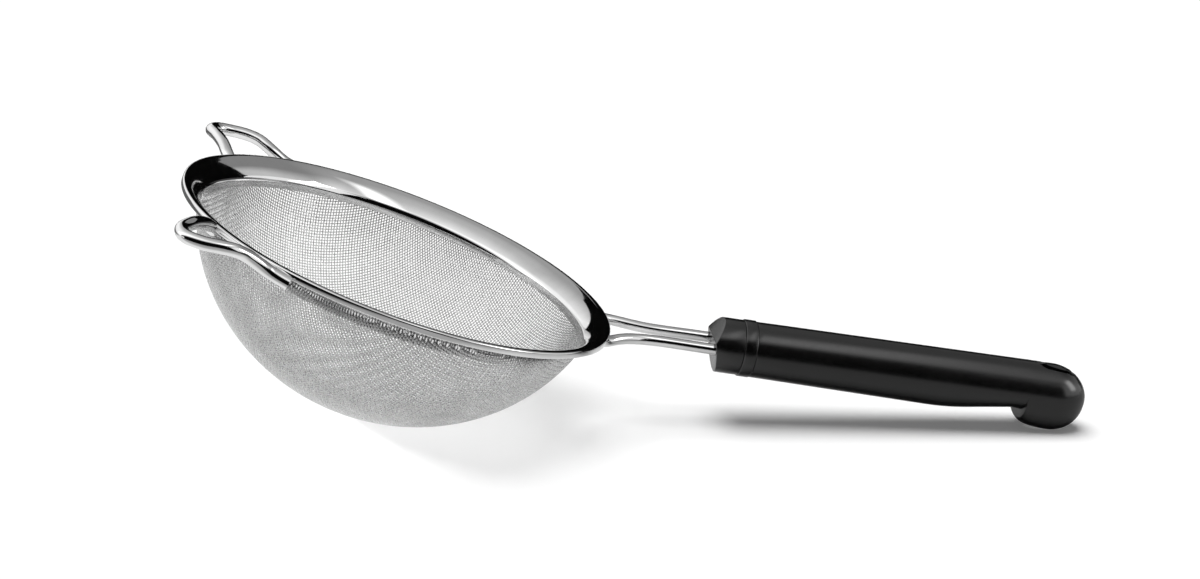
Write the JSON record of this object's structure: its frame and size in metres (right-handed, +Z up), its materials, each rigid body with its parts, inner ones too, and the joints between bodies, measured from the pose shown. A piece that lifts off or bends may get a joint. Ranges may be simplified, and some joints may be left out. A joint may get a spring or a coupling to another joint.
{
  "type": "kitchen strainer",
  "caption": "Round wire-mesh kitchen strainer with a polished steel rim, wire pot-rest ears and a black handle on wire tangs; lies on its bowl and handle heel.",
  "frame": {"origin": "on the table under the middle of the whole strainer", "axes": "+X from the front of the bowl to the end of the handle, +Y to the right ear, +Z up from the table"},
  "size_m": [0.4166, 0.2, 0.1093],
  "materials": {
    "polished_steel": "mirror polished",
    "wire_cloth": "bright drawn wire",
    "black_plastic": "satin"
  },
  "bodies": {
    "root": {"rim": "polished_steel", "mesh_bowl": "wire_cloth", "ear_left": "polished_steel", "ear_right": "polished_steel", "tang_wire_left": "polished_steel", "tang_wire_right": "polished_steel", "handle_nose": "black_plastic", "handle_band": "black_plastic", "handle_grip": "black_plastic"}
  },
  "joints": []
}
